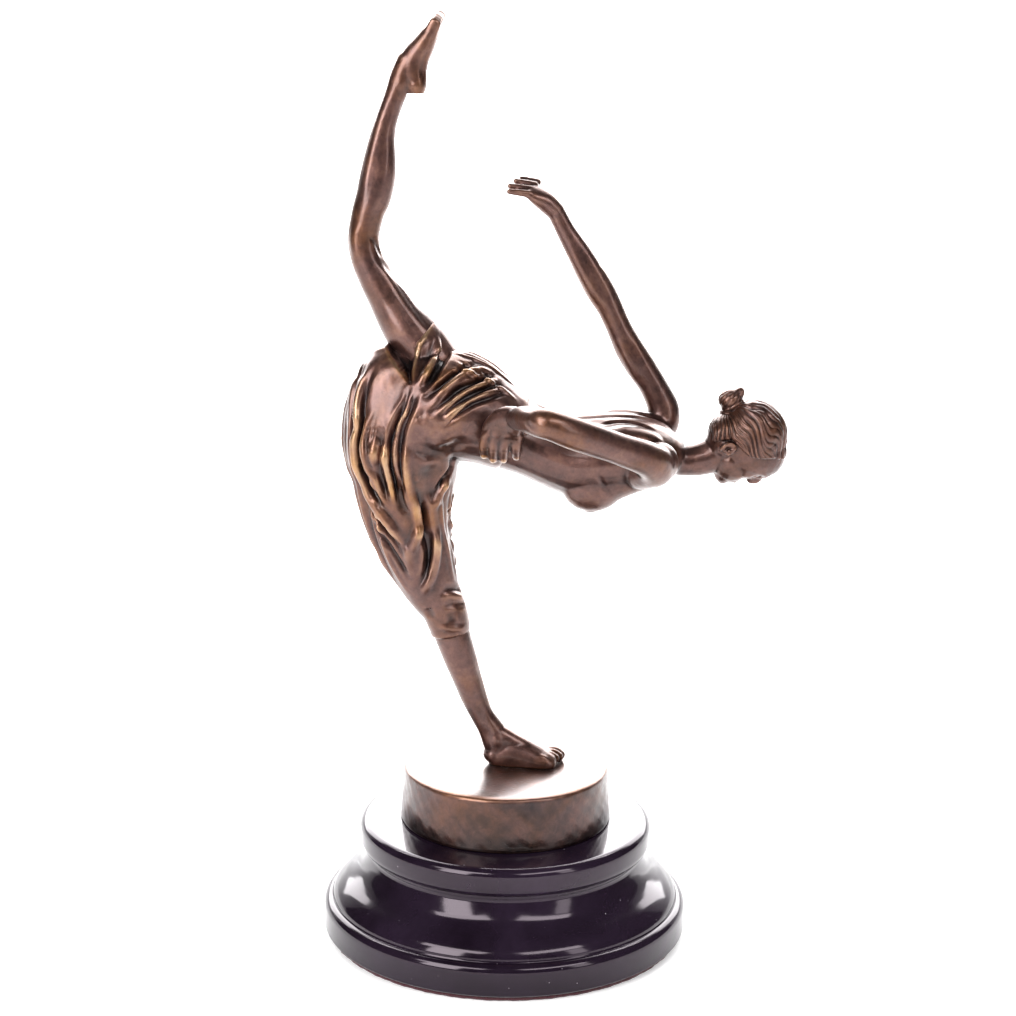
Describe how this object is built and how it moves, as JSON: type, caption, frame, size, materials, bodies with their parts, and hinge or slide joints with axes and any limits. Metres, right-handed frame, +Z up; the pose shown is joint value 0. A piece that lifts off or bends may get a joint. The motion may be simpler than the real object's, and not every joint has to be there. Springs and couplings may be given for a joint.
{
  "type": "bronze statuette",
  "caption": "Bronze figure of a barefoot dancer balancing on one leg, one leg and one arm raised, on a bronze plinth and a turned black marble base.",
  "frame": {"origin": "centre of the felt's underside, where the base rests, on the axis of the turned base", "axes": "+Z up along the base's axis; +X the way the dancer leans and her head points; her right side faces -Y"},
  "size_m": [0.161, 0.13, 0.3231],
  "materials": {
    "bronze": "cast bronze, brown patina, waxed",
    "black_marble": "polished",
    "felt": "dark red felt",
    "steel": "plain"
  },
  "bodies": {
    "root": {"head": "bronze", "torso": "bronze", "raised_arm": "bronze", "bent_arm": "bronze", "skirt": "bronze", "raised_leg": "bronze", "standing_leg": "bronze", "bronze_plinth": "bronze", "marble_top_disc": "black_marble", "marble_base": "black_marble", "felt_pad": "felt", "tie_rod": "steel", "tie_rod_washer": "steel", "tie_rod_nut": "steel", "foot_stud": "steel", "foot_stud_washer": "steel", "foot_stud_nut": "steel", "foot_peg": "steel"}
  },
  "joints": []
}
